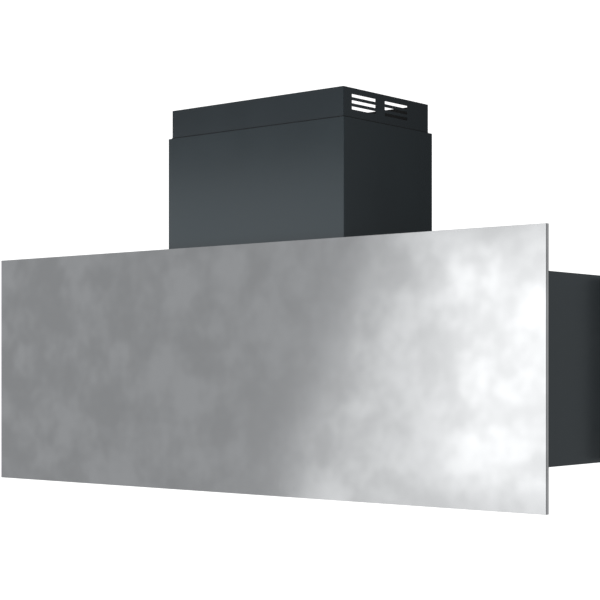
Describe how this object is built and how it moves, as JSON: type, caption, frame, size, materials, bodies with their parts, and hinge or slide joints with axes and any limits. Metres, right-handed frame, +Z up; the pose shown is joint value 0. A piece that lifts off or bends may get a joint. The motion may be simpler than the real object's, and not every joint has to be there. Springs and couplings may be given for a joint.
{
  "type": "island range hood",
  "caption": "Island range hood: two large satin steel panels on a slim dark body, under a telescopic chimney with side vents.",
  "frame": {"origin": "centre of the ceiling plate's top face, where the hood meets the ceiling", "axes": "+X right along the panels, -Y to the front panel, +Z up"},
  "size_m": [1.2, 0.337, 0.663],
  "materials": {
    "painted_steel": "satin anthracite powder coat",
    "panel_steel": "stainless steel with a fine cloudy finish, clear lacquered",
    "galvanised_steel": "zinc coated sheet",
    "filter_steel": "brushed stainless steel",
    "trim_steel": "brushed stainless steel",
    "ground_steel": "ground bright steel",
    "motor_core": "laminated core with varnished windings",
    "aluminium": "plain rolled or pressed aluminium",
    "black_plastic": "fine moulded grain",
    "core_board": "dark stiffening board",
    "seal_rubber": "soft foam rubber",
    "circuit_board": "green solder mask",
    "frosted_lens": "frosted"
  },
  "bodies": {
    "ceiling_frame": {"ceiling_plate": "galvanised_steel", "upper_posts": "galvanised_steel", "upper_brace": "galvanised_steel"},
    "hood": {"lower_chimney_front": "painted_steel", "lower_chimney_rear": "painted_steel", "chimney_brackets": "galvanised_steel", "lower_frame": "galvanised_steel", "frame_screws": "galvanised_steel", "base_bolts": "galvanised_steel", "top_plate": "painted_steel", "carrier_rails": "galvanised_steel", "front_wall": "painted_steel", "rear_wall": "painted_steel", "end_cover_left": "painted_steel", "end_cover_right": "painted_steel", "bottom_tray": "painted_steel", "front_panel_skin": "panel_steel", "rear_panel_skin": "panel_steel", "panel_cores": "core_board", "panel_seals": "seal_rubber", "panel_studs": "galvanised_steel", "duct_collar": "black_plastic", "scroll_left": "black_plastic", "scroll_right": "black_plastic", "blower_bolts": "galvanised_steel", "motor_bracket": "galvanised_steel", "motor_shell": "galvanised_steel", "motor_stator": "motor_core", "motor_bearings": "ground_steel", "capacitor": "aluminium", "wiring_box": "black_plastic", "wiring_lid": "black_plastic", "power_board": "circuit_board", "cable_gland": "black_plastic", "lamp_bezels": "trim_steel", "lamp_lenses": "frosted_lens", "lamp_heatsinks": "aluminium", "control_plate": "trim_steel", "control_housing": "black_plastic", "control_board": "circuit_board"},
    "sleeve": {"sleeve_front": "painted_steel", "sleeve_rear": "painted_steel"},
    "flap_left": {"damper_left": "aluminium"},
    "flap_right": {"damper_right": "aluminium"},
    "impeller": {"motor_shaft": "ground_steel", "motor_rotor": "motor_core", "blower_wheel": "black_plastic"},
    "filter_left": {"filter_frame_left": "filter_steel", "filter_baffles_left": "filter_steel", "filter_handle_left": "filter_steel"},
    "filter_middle": {"filter_frame_middle": "filter_steel", "filter_baffles_middle": "filter_steel", "filter_handle_middle": "filter_steel"},
    "filter_right": {"filter_frame_right": "filter_steel", "filter_baffles_right": "filter_steel", "filter_handle_right": "filter_steel"},
    "key_1": {"button_1": "trim_steel"},
    "key_2": {"button_2": "trim_steel"},
    "key_3": {"button_3": "trim_steel"},
    "key_4": {"button_4": "trim_steel"}
  },
  "joints": [
    {"name": "height_adjust", "type": "slide", "parent": "ceiling_frame", "child": "hood", "axis": [0, 0, -1], "range_m": [0, 0.2]},
    {"name": "sleeve_slide", "type": "slide", "parent": "hood", "child": "sleeve", "axis": [0, 0, 1], "range_m": [-0.042, 0.18]},
    {"name": "impeller_spin", "type": "hinge", "parent": "hood", "child": "impeller", "pos_m": [0, 0.043, -0.4052], "axis": [1, 0, 0], "continuous": true},
    {"name": "damper_left_swing", "type": "hinge", "parent": "hood", "child": "flap_left", "pos_m": [-0.0022, 0, -0.24415], "axis": [0, 1, 0], "range_deg": [0, 75]},
    {"name": "damper_right_swing", "type": "hinge", "parent": "hood", "child": "flap_right", "pos_m": [0.0022, 0, -0.24415], "axis": [0, -1, 0], "range_deg": [0, 75]},
    {"name": "filter_left_swing", "type": "hinge", "parent": "hood", "child": "filter_left", "pos_m": [-0.3, 0.12, -0.5555], "axis": [1, 0, 0], "range_deg": [0, 80]},
    {"name": "filter_middle_swing", "type": "hinge", "parent": "hood", "child": "filter_middle", "pos_m": [0, 0.12, -0.5555], "axis": [1, 0, 0], "range_deg": [0, 80]},
    {"name": "filter_right_swing", "type": "hinge", "parent": "hood", "child": "filter_right", "pos_m": [0.3, 0.12, -0.5555], "axis": [1, 0, 0], "range_deg": [0, 80]},
    {"name": "key_1_press", "type": "slide", "parent": "hood", "child": "key_1", "axis": [0, 0, 1], "range_m": [0, 0.0025], "stiffness_N_per_m": 400, "springref_m": -0.001},
    {"name": "key_2_press", "type": "slide", "parent": "hood", "child": "key_2", "axis": [0, 0, 1], "range_m": [0, 0.0025], "stiffness_N_per_m": 400, "springref_m": -0.001},
    {"name": "key_3_press", "type": "slide", "parent": "hood", "child": "key_3", "axis": [0, 0, 1], "range_m": [0, 0.0025], "stiffness_N_per_m": 400, "springref_m": -0.001},
    {"name": "key_4_press", "type": "slide", "parent": "hood", "child": "key_4", "axis": [0, 0, 1], "range_m": [0, 0.0025], "stiffness_N_per_m": 400, "springref_m": -0.001}
  ]
}
